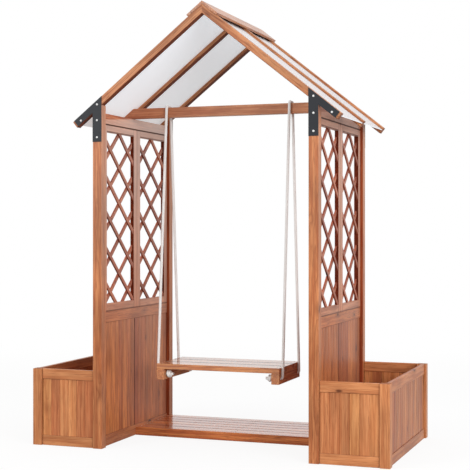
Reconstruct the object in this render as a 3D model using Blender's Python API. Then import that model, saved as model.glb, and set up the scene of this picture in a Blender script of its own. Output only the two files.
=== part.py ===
# Garden arch with a gable roof, a plant box on each side and a slatted bench that hangs
# on two ropes from the tie beam. Metres, +Z up. The origin is on the ground in the middle
# of the arch. +X is to the right of someone who faces the arch, and +Y is its back.

import math

import bmesh
import bpy
from mathutils import Matrix, Vector

# Small sizes that every piece shares
GAP = 0.0003
OVERRUN = 0.02
ARRIS = 0.0015
HOUSING = 0.001
MERGE = 0.00001

# Arch: posts, and the panels centred between them
ARCH_WIDTH = 1.200
ARCH_DEPTH = 0.930
POST_SIZE = 0.050
WALL_TOP = 1.7225
PANEL_THICKNESS = 0.020
BOARD_THICKNESS = 0.012
BOARD_HOUSING = 0.010
BOARD_VEE = 0.004
PLATE_HEIGHT = 0.0525
LOWER_PANEL_HEIGHT = 0.695
LOWER_TOP_RAIL = 0.055
LOWER_BOTTOM_RAIL = 0.057
WALL_BOARDS = 17

# Lattice frames and their laths
LATTICE_MEMBER = 0.042
LATH_WIDTH = 0.020
LATH_THICKNESS = 0.008
LATH_LAP = 0.0005
LATH_PITCH = 0.1855
LATH_ANGLE = math.radians(41.0)
LATH_DROP = 0.004

# Roof
ROOF_PITCH = math.radians(38.42)
RAFTER_LENGTH = 0.910
RAFTER_DEPTH = 0.036
RAFTER_WIDTH = 0.040
PLATE_CLEARANCE = 0.0085
SHEET_THICKNESS = 0.004
SHEET_SETBACK = 0.0123
SHEET_TAIL_SETBACK = 0.001
SHEET_TONGUE = 0.008
RIDGE_BOARD_WIDTH = 0.096
RIDGE_BOARD_THICKNESS = 0.012

# Tie beam that carries the swing
BEAM_HEIGHT = 0.054
BEAM_THICKNESS = 0.040
BEAM_OVERHANG = 0.035

# Corner brackets and their dome-head bolts
BRACKET_THICKNESS = 0.0025
BRACKET_LEG = 0.188
BRACKET_TAIL_SETBACK = 0.010
BRACKET_INSET = 0.0005
BOLT_HEAD_DIAMETER = 0.0116
BOLT_HEAD_HEIGHT = 0.0035
LOW_BOLT_HEIGHT = 0.023
HIGH_BOLT_HEIGHT = 0.110
TAIL_BOLT_SETBACK = 0.030
TAIL_BOLT_DEPTH = 0.024
BOLT_HEAD_SIDES = 12

# Plant boxes
PLANTER_WIDTH = 0.347
PLANTER_HEIGHT = 0.397
PLANTER_RAIL = 0.052
PLANTER_RECESS = 0.008
PLANTER_FRONT_BOARDS = 6
FLOOR_SLATS = 11
FLOOR_SLAT_GAP = 0.006
FLOOR_SLAT_THICKNESS = 0.012
FLOOR_BATTEN = 0.020

# Deck
DECK_FRONT_Y = -0.018
DECK_HEIGHT = 0.045
DECK_FASCIA_THICKNESS = 0.020
DECK_SLATS = 6
DECK_SLAT_GAP = 0.006
DECK_SLAT_THICKNESS = 0.016
DECK_BATTENS = 3
DECK_BATTEN_WIDTH = 0.040

# Bench
SEAT_CENTRE_X = -0.0145
SEAT_LENGTH = 0.675
SEAT_DEPTH = 0.357
SEAT_TOP = 0.4195
SEAT_SLATS = ("front", "middle", "back")
SEAT_SLAT_GAP = 0.0055
SEAT_SLAT_THICKNESS = 0.0275
BEARER_WIDTH = 0.042
BEARER_HEIGHT = 0.055

# Ropes
ROPE_DIAMETER = 0.014
ROPE_HOLE_DIAMETER = 0.015
ROPE_HOLE_INSET = 0.035
ROPE_MOUTH = 0.004
ROPE_BEND_RADIUS = 0.011
ROPE_BEND_STEPS = 4
SADDLE_RADIUS = 0.050
KNOT_TURNS = 1.5
KNOT_RADIUS = 0.012
KNOT_LAY_GAP = 0.0007
KNOT_TAIL = 0.012
KNOT_STEPS = 18
HOLE_SIDES = 16
TURNING_SIDES = 64

# Places worked out from those sizes
ARCH_HALF = ARCH_WIDTH / 2
DEPTH_HALF = ARCH_DEPTH / 2
POST_X = ARCH_HALF - POST_SIZE / 2
POST_Y = DEPTH_HALF - POST_SIZE / 2
POST_INNER_X = ARCH_HALF - POST_SIZE
WALL_INNER_X = POST_X - PANEL_THICKNESS / 2
WALL_OUTER_X = POST_X + PANEL_THICKNESS / 2
WALL_END_Y = DEPTH_HALF - POST_SIZE - GAP
PLATE_BOTTOM = WALL_TOP - PLATE_HEIGHT
RIDGE_HEIGHT = (
    WALL_TOP
    + PLATE_CLEARANCE
    + WALL_OUTER_X * math.tan(ROOF_PITCH)
    + RAFTER_DEPTH / math.cos(ROOF_PITCH)
)
RAFTER_Y = DEPTH_HALF - RAFTER_WIDTH / 2
SHEET_UNDERSIDE = SHEET_SETBACK + SHEET_THICKNESS
BEAM_Y = -RAFTER_WIDTH / 2 - GAP - BEAM_THICKNESS / 2
BEAM_Z = WALL_TOP + GAP + BEAM_HEIGHT / 2
PLANTER_OUTER_X = ARCH_HALF + PLANTER_WIDTH
PLANTER_POST_X = PLANTER_OUTER_X - POST_SIZE / 2
PLANTER_PANEL_X = PLANTER_OUTER_X - PLANTER_RECESS - PANEL_THICKNESS / 2
PLANTER_PANEL_Y = DEPTH_HALF - PLANTER_RECESS - PANEL_THICKNESS / 2
BEARER_TOP = SEAT_TOP - SEAT_SLAT_THICKNESS - GAP
BEARER_X = SEAT_LENGTH / 2 - BEARER_WIDTH / 2
ROPE_X = SEAT_LENGTH / 2 + GAP + ROPE_DIAMETER / 2
ROPE_HOLE_Y = SEAT_DEPTH / 2 - ROPE_HOLE_INSET
ROPE_HOLE_Z = BEARER_TOP - BEARER_HEIGHT / 2
SWING_AXIS = Vector((SEAT_CENTRE_X, BEAM_Y, BEAM_Z))

SIDES = {"left": -1, "right": 1}
ENDS = {"front": -1, "back": 1}
GRAIN_X, GRAIN_Y, GRAIN_Z = range(3)


def clear_scene():
    for item in list(bpy.data.objects):
        bpy.data.objects.remove(item)


def new_collection(name):
    collection = bpy.data.collections.new(name)
    bpy.context.scene.collection.children.link(collection)
    return collection


def new_holder(name, location):
    holder = bpy.data.objects.new(name, None)
    holder.location = location
    parts.objects.link(holder)
    return holder


def new_material(name, colour, roughness, metallic=0.0, transmission=0.0):
    material = bpy.data.materials.new(name)
    material.use_nodes = True
    inputs = material.node_tree.nodes["Principled BSDF"].inputs
    inputs["Base Color"].default_value = (*colour, 1)
    inputs["Roughness"].default_value = roughness
    inputs["Metallic"].default_value = metallic
    inputs["Transmission Weight"].default_value = transmission
    return material


def mesh_from(name, bm):
    mesh = bpy.data.meshes.new(name)
    bmesh.ops.recalc_face_normals(bm, faces=bm.faces)
    bm.to_mesh(mesh)
    bm.free()
    return mesh


def add_part(name, bm, material, location, holder, rotation=(0, 0, 0)):
    # The location is in the world; the holders have no rotation of their own
    mesh = mesh_from(name, bm)
    mesh.materials.append(material)
    part = bpy.data.objects.new(name, mesh)
    part.parent = holder
    part.location = Vector(location) - holder.location
    part.rotation_euler = rotation
    parts.objects.link(part)
    return part


def join_or_cut(host, bm, operation):
    # The helper is in the frame of the piece that it shapes
    name = host.name + "_" + operation.lower()
    helper = bpy.data.objects.new(name, mesh_from(name, bm))
    helper.parent = host
    helper.hide_render = True
    helper.display_type = "WIRE"
    helpers.objects.link(helper)
    modifier = host.modifiers.new(operation.capitalize(), "BOOLEAN")
    modifier.operation = operation
    modifier.solver = "EXACT"
    modifier.object = helper


def add_box(bm, low, high):
    low = Vector(low)
    high = Vector(high)
    size = Matrix.Diagonal((*(high - low), 1))
    place = Matrix.Translation((low + high) / 2)
    return bmesh.ops.create_cube(bm, size=1, matrix=place @ size)["verts"]


def runs_along(edge, grain):
    run = edge.verts[1].co - edge.verts[0].co
    return abs(run[grain]) > run.length / 2


def add_timber(bm, low, high, grain):
    # The four edges along the grain are eased, and the ends are saw cuts
    corners = set(add_box(bm, low, high))
    edges = [
        edge
        for edge in bm.edges
        if corners.issuperset(edge.verts) and runs_along(edge, grain)
    ]
    bmesh.ops.bevel(
        bm,
        geom=edges,
        offset=ARRIS,
        offset_type="OFFSET",
        segments=1,
        profile=0.5,
        affect="EDGES",
    )


def cut_away(bm, point, normal):
    # Takes off what lies on the normal's side of a plane, and closes the cut
    cut = bmesh.ops.bisect_plane(
        bm,
        geom=bm.verts[:] + bm.edges[:] + bm.faces[:],
        plane_co=point,
        plane_no=normal,
        clear_outer=True,
    )
    rim = [item for item in cut["geom_cut"] if isinstance(item, bmesh.types.BMEdge)]
    bmesh.ops.edgeloop_fill(bm, edges=rim)


def timber_part(name, low, high, grain, material, holder):
    # A plain timber between two corners in the world, with its origin at its middle
    low = Vector(low)
    high = Vector(high)
    middle = (low + high) / 2
    bm = bmesh.new()
    add_timber(bm, low - middle, high - middle, grain)
    return add_part(name, bm, material, middle, holder)


def slat_places(low, high, count, gap):
    # Start and width of each of the even slats that fill a length
    width = (high - low - (count - 1) * gap) / count
    return [(low + index * (width + gap), width) for index in range(count)]


def bmesh_of_curve(curve, points, closed):
    # A curve's caps are loose, so they are welded to its sides
    spline = curve.splines.new("POLY")
    spline.points.add(len(points) - 1)
    for target, point in zip(spline.points, points):
        target.co = (*point, 1)
    spline.use_cyclic_u = closed
    source = bpy.data.objects.new(curve.name, curve)
    helpers.objects.link(source)
    graph = bpy.context.evaluated_depsgraph_get()
    mesh = bpy.data.meshes.new_from_object(source.evaluated_get(graph))
    bpy.data.objects.remove(source)
    bm = bmesh.new()
    bm.from_mesh(mesh)
    bpy.data.meshes.remove(mesh)
    bmesh.ops.remove_doubles(bm, verts=bm.verts, dist=MERGE)
    return bm


def extruded_outline(points, thickness):
    # A flat outline in the XY plane, thickened evenly to both sides of it
    curve = bpy.data.curves.new("outline", "CURVE")
    curve.dimensions = "2D"
    curve.fill_mode = "BOTH"
    curve.extrude = thickness / 2
    return bmesh_of_curve(curve, [(x, y, 0) for x, y in points], True)


def tube(points):
    curve = bpy.data.curves.new("tube", "CURVE")
    curve.dimensions = "3D"
    curve.bevel_depth = ROPE_DIAMETER / 2
    curve.bevel_resolution = 3
    curve.use_fill_caps = True
    return bmesh_of_curve(curve, points, False)


def roof_height(x, depth):
    # Height of a plane that lies this deep below the rafters' tops, square to the slope
    return RIDGE_HEIGHT - abs(x) * math.tan(ROOF_PITCH) - depth / math.cos(ROOF_PITCH)


def roof_point(run, depth):
    # Distance from the centre line and height of a point down the slope
    x = run * math.cos(ROOF_PITCH) - depth * math.sin(ROOF_PITCH)
    z = RIDGE_HEIGHT - run * math.sin(ROOF_PITCH) - depth * math.cos(ROOF_PITCH)
    return x, z


def cut_under_roof(bm, side, depth, origin):
    # Cuts a piece to the roof's slope on one side, at a depth below the rafters' tops
    point = Vector((0, 0, roof_height(0, depth))) - Vector(origin)
    normal = Vector((side * math.sin(ROOF_PITCH), 0, math.cos(ROOF_PITCH)))
    cut_away(bm, point, normal)


# Arch


def make_post(name, side, end):
    foot = (side * POST_X, end * POST_Y, 0)
    half = POST_SIZE / 2
    bm = bmesh.new()
    add_timber(bm, (-half, -half, 0), (half, half, RIDGE_HEIGHT), GRAIN_Z)
    cut_under_roof(bm, side, RAFTER_DEPTH + GAP, foot)
    add_part(name, bm, post_wood, foot, arch)


def slice_across(bm, x):
    # Adds a ring of edges where a plane square to X meets the mesh
    geometry = bm.verts[:] + bm.edges[:] + bm.faces[:]
    bmesh.ops.bisect_plane(bm, geom=geometry, plane_co=(x, 0, 0), plane_no=(1, 0, 0))


def board_sheet(length, count, low, high):
    # Boards set edge to edge, with a V on both faces where two of them meet
    face = BOARD_THICKNESS / 2
    vee = BOARD_VEE / 2
    bm = bmesh.new()
    add_box(bm, (-length / 2, -face, low), (length / 2, face, high))
    for joint in range(1, count):
        x = length * (joint / count) - length / 2
        for offset in (-vee, 0, vee):
            slice_across(bm, x + offset)
        for vert in bm.verts:
            if abs(vert.co.x - x) < MERGE:
                vert.co.y *= (face - vee) / face
    return bm


def boarded_panel(name, length, height, rails, count, location, turn):
    # Boards let into a rail at the top and one at the bottom, along the local X
    bottom_rail, top_rail = rails
    half = PANEL_THICKNESS / 2
    end = length / 2
    bm = bmesh.new()
    add_timber(bm, (-end, -half, 0), (end, half, bottom_rail), GRAIN_X)
    add_timber(bm, (-end, -half, height - top_rail), (end, half, height), GRAIN_X)
    panel = add_part(name, bm, board_wood, location, arch, (0, 0, turn))
    low = bottom_rail - BOARD_HOUSING
    high = height - top_rail + BOARD_HOUSING
    join_or_cut(panel, board_sheet(length, count, low, high), "UNION")


def make_lower_wall(name, side):
    boarded_panel(
        name,
        2 * WALL_END_Y,
        LOWER_PANEL_HEIGHT,
        (LOWER_BOTTOM_RAIL, LOWER_TOP_RAIL),
        WALL_BOARDS,
        (side * POST_X, 0, 0),
        math.pi / 2,
    )


def make_plate(name, side):
    half = PANEL_THICKNESS / 2
    low = (side * POST_X - half, -WALL_END_Y, PLATE_BOTTOM)
    high = (side * POST_X + half, WALL_END_Y, WALL_TOP)
    timber_part(name, low, high, GRAIN_Y, post_wood, arch)


def lattice_size():
    # Length and height of each lattice frame
    return WALL_END_Y - GAP / 2, PLATE_BOTTOM - LOWER_PANEL_HEIGHT - 2 * GAP


def lattice_middle(side, end):
    length, height = lattice_size()
    y = end * (GAP / 2 + length / 2)
    return Vector((side * POST_X, y, LOWER_PANEL_HEIGHT + GAP + height / 2))


def make_lattice_frame(name, side, end):
    length, height = lattice_size()
    corner = Vector((PANEL_THICKNESS / 2, length / 2, height / 2))
    bm = bmesh.new()
    add_timber(bm, -corner, corner, GRAIN_Z)
    frame = add_part(name, bm, frame_wood, lattice_middle(side, end), arch)
    window = Vector((OVERRUN, length / 2 - LATTICE_MEMBER, height / 2 - LATTICE_MEMBER))
    opening = bmesh.new()
    add_box(opening, -window, window)
    join_or_cut(frame, opening, "DIFFERENCE")


def crosses_inside(height, rise, half_length, half_height):
    # Whether a lath meets one of the other layer within the window
    spacing = LATH_PITCH / 2 / math.tan(LATH_ANGLE)
    reach = int(half_length / spacing)
    crossings = [height + rise * step * LATH_PITCH / 2 for step in range(-reach, reach + 1)]
    return any(abs(z) < half_height - LATH_WIDTH for z in crossings)


def lath_layer(rise, low_x, high_x, half_length, half_height):
    # Parallel laths that climb or fall along Y, trimmed to the window
    bm = bmesh.new()
    turn = Matrix.Rotation(rise * LATH_ANGLE, 4, "X")
    reach = half_length + half_height
    steps = math.ceil(2 * reach / LATH_PITCH)
    for step in range(-steps, steps + 1):
        height = half_height - LATH_DROP - step * LATH_PITCH
        if not crosses_inside(height, rise, half_length, half_height):
            continue
        low = (low_x, -reach, -LATH_WIDTH / 2)
        high = (high_x, reach, LATH_WIDTH / 2)
        lath = add_box(bm, low, high)
        matrix = Matrix.Translation((0, 0, height)) @ turn
        bmesh.ops.transform(bm, matrix=matrix, verts=lath)
    for edge in (-1, 1):
        cut_away(bm, Vector((0, edge * half_length, 0)), Vector((0, edge, 0)))
        cut_away(bm, Vector((0, 0, edge * half_height)), Vector((0, 0, edge)))
    return bm


def make_lattice(name, side, end):
    length, height = lattice_size()
    half_length = length / 2 - LATTICE_MEMBER - GAP
    half_height = height / 2 - LATTICE_MEMBER - GAP
    lap = LATH_LAP / 2
    falling = lath_layer(-1, -lap, LATH_THICKNESS - lap, half_length, half_height)
    climbing = lath_layer(1, lap - LATH_THICKNESS, lap, half_length, half_height)
    lattice = add_part(name, falling, lath_wood, lattice_middle(side, end), arch)
    join_or_cut(lattice, climbing, "UNION")


def make_beam():
    half_length = WALL_OUTER_X + BEAM_OVERHANG
    corner = Vector((half_length, BEAM_THICKNESS / 2, BEAM_HEIGHT / 2))
    middle = (0, BEAM_Y, BEAM_Z)
    bm = bmesh.new()
    add_timber(bm, -corner, corner, GRAIN_X)
    for side in SIDES.values():
        cut_under_roof(bm, side, SHEET_UNDERSIDE + GAP, middle)
    add_part("swing_beam", bm, rafter_wood, middle, arch)


# Roof


def roof_part(name, bm, side, y, material):
    # Local X runs down the slope from the ridge, and local Z stands square on it
    mitre = Vector((GAP / 2 / math.cos(ROOF_PITCH), 0, 0))
    cut_away(bm, mitre, -Vector((math.cos(ROOF_PITCH), 0, math.sin(ROOF_PITCH))))
    turn = 0 if side > 0 else math.pi
    place = (0, y, RIDGE_HEIGHT)
    return add_part(name, bm, material, place, arch, (0, ROOF_PITCH, turn))


def make_rafter(name, side, y, grooved):
    # One groove on each side that holds a sheet; the local Y of a left rafter is turned
    half = RAFTER_WIDTH / 2
    bm = bmesh.new()
    add_timber(bm, (-OVERRUN, -half, -RAFTER_DEPTH), (RAFTER_LENGTH, half, 0), GRAIN_X)
    rafter = roof_part(name, bm, side, y, rafter_wood)
    grooves = bmesh.new()
    for end in grooved:
        floor = end * side * (half - SHEET_TONGUE)
        open_side = end * side * (half + OVERRUN)
        low = (-OVERRUN, min(floor, open_side), -SHEET_UNDERSIDE - GAP)
        high = (RAFTER_LENGTH + OVERRUN, max(floor, open_side), GAP - SHEET_SETBACK)
        add_box(grooves, low, high)
    join_or_cut(rafter, grooves, "DIFFERENCE")


def make_sheet(name, side, end):
    # Runs between the floors of the grooves in the rafters on each side of it
    inner = RAFTER_WIDTH / 2 - SHEET_TONGUE + GAP
    outer = DEPTH_HALF - RAFTER_WIDTH + SHEET_TONGUE - GAP
    half = (outer - inner) / 2
    tail = RAFTER_LENGTH - SHEET_TAIL_SETBACK
    bm = bmesh.new()
    add_box(bm, (-OVERRUN, -half, -SHEET_UNDERSIDE), (tail, half, -SHEET_SETBACK))
    roof_part(name, bm, side, end * (inner + outer) / 2, opal_sheet)


def make_ridge_board(name, side):
    top = GAP + RIDGE_BOARD_THICKNESS
    bm = bmesh.new()
    low = (-OVERRUN, -DEPTH_HALF, GAP)
    add_timber(bm, low, (RIDGE_BOARD_WIDTH, DEPTH_HALF, top), GRAIN_Y)
    roof_part(name, bm, side, 0, rafter_wood)


# Brackets


def bracket_outline(side):
    # A leg down the post and an arm along the rafter, both flush with their timbers
    low_depth = RAFTER_DEPTH - BRACKET_INSET
    tail = RAFTER_LENGTH - BRACKET_TAIL_SETBACK
    points = [
        (POST_INNER_X, bracket_bottom()),
        (ARCH_HALF, bracket_bottom()),
        (ARCH_HALF, roof_height(ARCH_HALF, low_depth)),
        roof_point(tail, low_depth),
        roof_point(tail, BRACKET_INSET),
        (POST_INNER_X, roof_height(POST_INNER_X, BRACKET_INSET)),
    ]
    return [(side * x, z) for x, z in points]


def bracket_bottom():
    return roof_height(POST_INNER_X, RAFTER_DEPTH) - BRACKET_LEG


def bolt_places(side):
    tail = RAFTER_LENGTH - BRACKET_TAIL_SETBACK - TAIL_BOLT_SETBACK
    places = [
        (POST_X, bracket_bottom() + LOW_BOLT_HEIGHT),
        (POST_X, bracket_bottom() + HIGH_BOLT_HEIGHT),
        (POST_X, roof_height(POST_X, RAFTER_DEPTH / 2)),
        roof_point(tail, TAIL_BOLT_DEPTH),
    ]
    return [(side * x, z) for x, z in places]


def add_dome(bm, x, y):
    # A bolt's domed head, rooted in the middle of the plate that lies in the XY plane
    dome = bmesh.new()
    radius = BOLT_HEAD_DIAMETER / 2
    bmesh.ops.create_uvsphere(
        dome, u_segments=BOLT_HEAD_SIDES, v_segments=BOLT_HEAD_SIDES // 2, radius=radius
    )
    flatten = Matrix.Diagonal((1, 1, BOLT_HEAD_HEIGHT / radius, 1))
    place = Matrix.Translation((x, y, BRACKET_THICKNESS / 2))
    bmesh.ops.transform(dome, matrix=place @ flatten, verts=dome.verts)
    cut_away(dome, Vector((0, 0, 0)), Vector((0, 0, -1)))
    mesh = mesh_from("dome", dome)
    bm.from_mesh(mesh)
    bpy.data.meshes.remove(mesh)


def make_bracket(name, side, end):
    # Local XY is the plate's plane, and its bolts stand out along local Z
    turn = math.pi if end > 0 else 0
    facing = side * (1 if end < 0 else -1)
    middle = (0, end * (DEPTH_HALF + GAP + BRACKET_THICKNESS / 2), 0)
    plate = extruded_outline(bracket_outline(facing), BRACKET_THICKNESS)
    bracket = add_part(name, plate, bracket_steel, middle, arch, (math.pi / 2, 0, turn))
    domes = bmesh.new()
    for x, z in bolt_places(facing):
        add_dome(domes, x, z)
    join_or_cut(bracket, domes, "UNION")


# Plant boxes


def make_planter_post(name, side, end):
    half = POST_SIZE / 2
    x = side * PLANTER_POST_X
    y = end * POST_Y
    low = (x - half, y - half, 0)
    timber_part(name, low, (x + half, y + half, PLANTER_HEIGHT), GRAIN_Z, post_wood, arch)


def make_planter_end(name, side, end):
    inner = ARCH_HALF + GAP
    outer = PLANTER_OUTER_X - POST_SIZE - GAP
    middle = (side * (inner + outer) / 2, end * PLANTER_PANEL_Y, 0)
    rails = (PLANTER_RAIL, PLANTER_RAIL)
    count = PLANTER_FRONT_BOARDS
    boarded_panel(name, outer - inner, PLANTER_HEIGHT, rails, count, middle, 0)


def make_planter_side(name, side):
    middle = (side * PLANTER_PANEL_X, 0, 0)
    rails = (PLANTER_RAIL, PLANTER_RAIL)
    length = 2 * WALL_END_Y
    boarded_panel(name, length, PLANTER_HEIGHT, rails, WALL_BOARDS, middle, math.pi / 2)


def make_planter_floor(name, side):
    # Slats across the box on two battens, level with the top of its bottom rails
    inner = WALL_OUTER_X + GAP
    outer = PLANTER_PANEL_X - PANEL_THICKNESS / 2 - GAP
    half = (outer - inner) / 2
    under = -FLOOR_SLAT_THICKNESS
    slats = bmesh.new()
    for y, width in slat_places(-WALL_END_Y, WALL_END_Y, FLOOR_SLATS, FLOOR_SLAT_GAP):
        add_timber(slats, (-half, y, under), (half, y + width, 0), GRAIN_X)
    middle = (side * (inner + outer) / 2, 0, PLANTER_RAIL)
    floor = add_part(name, slats, deck_wood, middle, arch)
    battens = bmesh.new()
    top = under + HOUSING
    for edge in (-half, half - FLOOR_BATTEN):
        low = (edge, -WALL_END_Y, top - FLOOR_BATTEN)
        add_timber(battens, low, (edge + FLOOR_BATTEN, WALL_END_Y, top), GRAIN_Y)
    join_or_cut(floor, battens, "UNION")


def make_planter(label, side):
    for end_label, end in ENDS.items():
        make_planter_post(f"{label}_planter_{end_label}_post", side, end)
        make_planter_end(f"{label}_planter_{end_label}_panel", side, end)
    make_planter_side(f"{label}_planter_side_panel", side)
    make_planter_floor(f"{label}_planter_floor", side)


# Deck


def make_deck_fascia():
    reach = WALL_INNER_X - GAP
    low = (-reach, DECK_FRONT_Y, 0)
    high = (reach, DECK_FRONT_Y + DECK_FASCIA_THICKNESS, DECK_HEIGHT)
    timber_part("deck_fascia", low, high, GRAIN_X, deck_wood, arch)


def make_deck_rail():
    # Lies under the last slat, between the back posts
    reach = POST_INNER_X - GAP
    low = (-reach, POST_Y - DECK_FASCIA_THICKNESS, 0)
    high = (reach, POST_Y, DECK_HEIGHT - DECK_SLAT_THICKNESS - GAP)
    timber_part("deck_back_rail", low, high, GRAIN_X, deck_wood, arch)


def make_deck_slats():
    # Slats on battens; the last slat is notched round the back posts
    reach = WALL_INNER_X - GAP
    front = DECK_FRONT_Y + DECK_FASCIA_THICKNESS + GAP
    under = -DECK_SLAT_THICKNESS
    slats = bmesh.new()
    for y, width in slat_places(front, POST_Y, DECK_SLATS, DECK_SLAT_GAP):
        add_timber(slats, (-reach, y, under), (reach, y + width, 0), GRAIN_X)
    deck = add_part("deck_slats", slats, deck_wood, (0, 0, DECK_HEIGHT), arch)
    battens = bmesh.new()
    back = POST_Y - DECK_FASCIA_THICKNESS - GAP
    travel = (2 * reach - DECK_BATTEN_WIDTH) / (DECK_BATTENS - 1)
    for index in range(DECK_BATTENS):
        x = index * travel - reach
        high = (x + DECK_BATTEN_WIDTH, back, under + HOUSING)
        add_timber(battens, (x, front, -DECK_HEIGHT), high, GRAIN_Y)
    join_or_cut(deck, battens, "UNION")
    notches = bmesh.new()
    for side in SIDES.values():
        inner = side * (POST_INNER_X - GAP)
        outer = side * (ARCH_HALF + OVERRUN)
        low = (min(inner, outer), WALL_END_Y, -DECK_HEIGHT)
        add_box(notches, low, (max(inner, outer), DEPTH_HALF, OVERRUN))
    join_or_cut(deck, notches, "DIFFERENCE")


# Bench


def make_seat_slats():
    half = SEAT_LENGTH / 2
    front = BEAM_Y - SEAT_DEPTH / 2
    places = slat_places(front, front + SEAT_DEPTH, len(SEAT_SLATS), SEAT_SLAT_GAP)
    for label, (y, width) in zip(SEAT_SLATS, places):
        low = (SEAT_CENTRE_X - half, y, SEAT_TOP - SEAT_SLAT_THICKNESS)
        high = (SEAT_CENTRE_X + half, y + width, SEAT_TOP)
        timber_part(f"seat_slat_{label}", low, high, GRAIN_X, seat_wood, swing)


def rope_hole():
    # A hole along X whose mouths are eased, as a turned profile
    radius = ROPE_HOLE_DIAMETER / 2
    half = BEARER_WIDTH / 2
    bm = bmesh.new()
    bmesh.ops.create_cone(
        bm,
        cap_ends=True,
        segments=HOLE_SIDES,
        radius1=radius,
        radius2=radius,
        depth=BEARER_WIDTH + 2 * OVERRUN,
    )
    bmesh.ops.rotate(bm, matrix=Matrix.Rotation(math.pi / 2, 3, "Y"), verts=bm.verts)
    spread = (radius + ROPE_MOUTH + OVERRUN) / radius
    for end in (-1, 1):
        slice_across(bm, end * (half - ROPE_MOUTH))
        rim = [vert for vert in bm.verts if end * vert.co.x > half]
        bmesh.ops.scale(bm, vec=(1, spread, spread), verts=rim)
    return bm


def make_bearer(name, side):
    corner = Vector((BEARER_WIDTH / 2, SEAT_DEPTH / 2, BEARER_HEIGHT / 2))
    middle = (SEAT_CENTRE_X + side * BEARER_X, BEAM_Y, ROPE_HOLE_Z)
    bm = bmesh.new()
    add_timber(bm, -corner, corner, GRAIN_Y)
    bearer = add_part(name, bm, seat_wood, middle, swing)
    for end in ENDS.values():
        hole = rope_hole()
        bmesh.ops.translate(hole, verts=hole.verts, vec=(0, end * ROPE_HOLE_Y, 0))
        join_or_cut(bearer, hole, "DIFFERENCE")


# Ropes, in a frame whose origin is on the swing's axis


def arc_angle():
    # Angle above level at which a fall touches the bend round the beam's top edge
    out, up, radius = wrap_centre()
    run = ROPE_HOLE_Y - out
    drop = up - (ROPE_HOLE_Z - BEAM_Z)
    return math.acos(radius / math.hypot(run, drop)) - math.atan2(drop, run)


def wrap_centre():
    # Centre and radius of the rope's bend round the eased top edge of the beam
    radius = ROPE_DIAMETER / 2 + GAP + ARRIS
    return BEAM_THICKNESS / 2 - ARRIS, BEAM_HEIGHT / 2 - ARRIS, radius


def wrap_points(x, end):
    # From where the fall touches the bend up to the top of the beam
    out, up, radius = wrap_centre()
    start = arc_angle()
    points = []
    for step in range(ROPE_BEND_STEPS + 1):
        angle = start + (math.pi / 2 - start) * step / ROPE_BEND_STEPS
        y = end * (out + radius * math.cos(angle))
        points.append(Vector((x, y, up + radius * math.sin(angle))))
    return points


def make_saddle(name, side):
    # The rope over the beam, as far as the circle where its falls begin to swing
    x = side * ROPE_X
    front = wrap_points(x, -1)
    back = wrap_points(x, 1)
    reach = 2 * SADDLE_RADIUS
    out = reach * math.sin(arc_angle())
    down = reach * math.cos(arc_angle())
    lead_in = front[0] + Vector((0, -out, -down))
    lead_out = back[0] + Vector((0, out, -down))
    rope = tube([lead_in] + front + back[::-1] + [lead_out])
    saddle = add_part(name, rope, rope_fibre, SWING_AXIS, arch)
    join_or_cut(saddle, turning_circle(x, SADDLE_RADIUS), "INTERSECT")


def turning_circle(x, radius):
    bm = bmesh.new()
    bmesh.ops.create_cone(
        bm,
        cap_ends=True,
        segments=TURNING_SIDES,
        radius1=radius,
        radius2=radius,
        depth=2 * ROPE_DIAMETER,
    )
    bmesh.ops.rotate(bm, matrix=Matrix.Rotation(math.pi / 2, 3, "Y"), verts=bm.verts)
    bmesh.ops.translate(bm, verts=bm.verts, vec=(x, 0, 0))
    return bm


def fall_points(side, end):
    # Down to the bearer, round into its hole and on through the knot
    start = wrap_points(side * ROPE_X, end)[0]
    corner = Vector((side * ROPE_X, end * ROPE_HOLE_Y, ROPE_HOLE_Z - BEAM_Z))
    down = (corner - start).normalized()
    inward = Vector((-side, 0, 0))
    centre = corner + (inward - down) * ROPE_BEND_RADIUS
    points = [start]
    for step in range(ROPE_BEND_STEPS + 1):
        angle = math.pi / 2 * step / ROPE_BEND_STEPS
        offset = down * math.sin(angle) - inward * math.cos(angle)
        points.append(centre + offset * ROPE_BEND_RADIUS)
    points.append(corner + inward * (BEARER_WIDTH + knot_length() + KNOT_TAIL))
    return points


def knot_length():
    return KNOT_TURNS * (ROPE_DIAMETER + KNOT_LAY_GAP) + ROPE_DIAMETER


def knot_turns(side, end):
    # The stopper knot's turns, wound round the rope and hard against the bearer
    face = SEAT_LENGTH / 2 - BEARER_WIDTH - GAP
    start = Vector((side * face, end * ROPE_HOLE_Y, ROPE_HOLE_Z - BEAM_Z))
    points = []
    for step in range(KNOT_STEPS + 1):
        share = step / KNOT_STEPS
        along = ROPE_DIAMETER / 2 + share * (knot_length() - ROPE_DIAMETER)
        angle = 2 * math.pi * KNOT_TURNS * share
        y = KNOT_RADIUS * math.sin(angle)
        z = -KNOT_RADIUS * math.cos(angle)
        points.append(start + Vector((-side * along, y, z)))
    return tube(points)


def make_fall(name, side, end):
    rope = tube(fall_points(side, end))
    fall = add_part(name, rope, rope_fibre, SWING_AXIS, swing)
    join_or_cut(fall, knot_turns(side, end), "UNION")
    circle = turning_circle(side * ROPE_X, SADDLE_RADIUS + GAP)
    join_or_cut(fall, circle, "DIFFERENCE")


def make_arch():
    for label, side in SIDES.items():
        for end_label, end in ENDS.items():
            make_post(f"{end_label}_{label}_post", side, end)
            make_lattice_frame(f"{label}_{end_label}_lattice_frame", side, end)
            make_lattice(f"{label}_{end_label}_lattice", side, end)
            make_bracket(f"{end_label}_{label}_bracket", side, end)
        make_lower_wall(f"{label}_wall_panel", side)
        make_plate(f"{label}_top_plate", side)
    make_beam()


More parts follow.
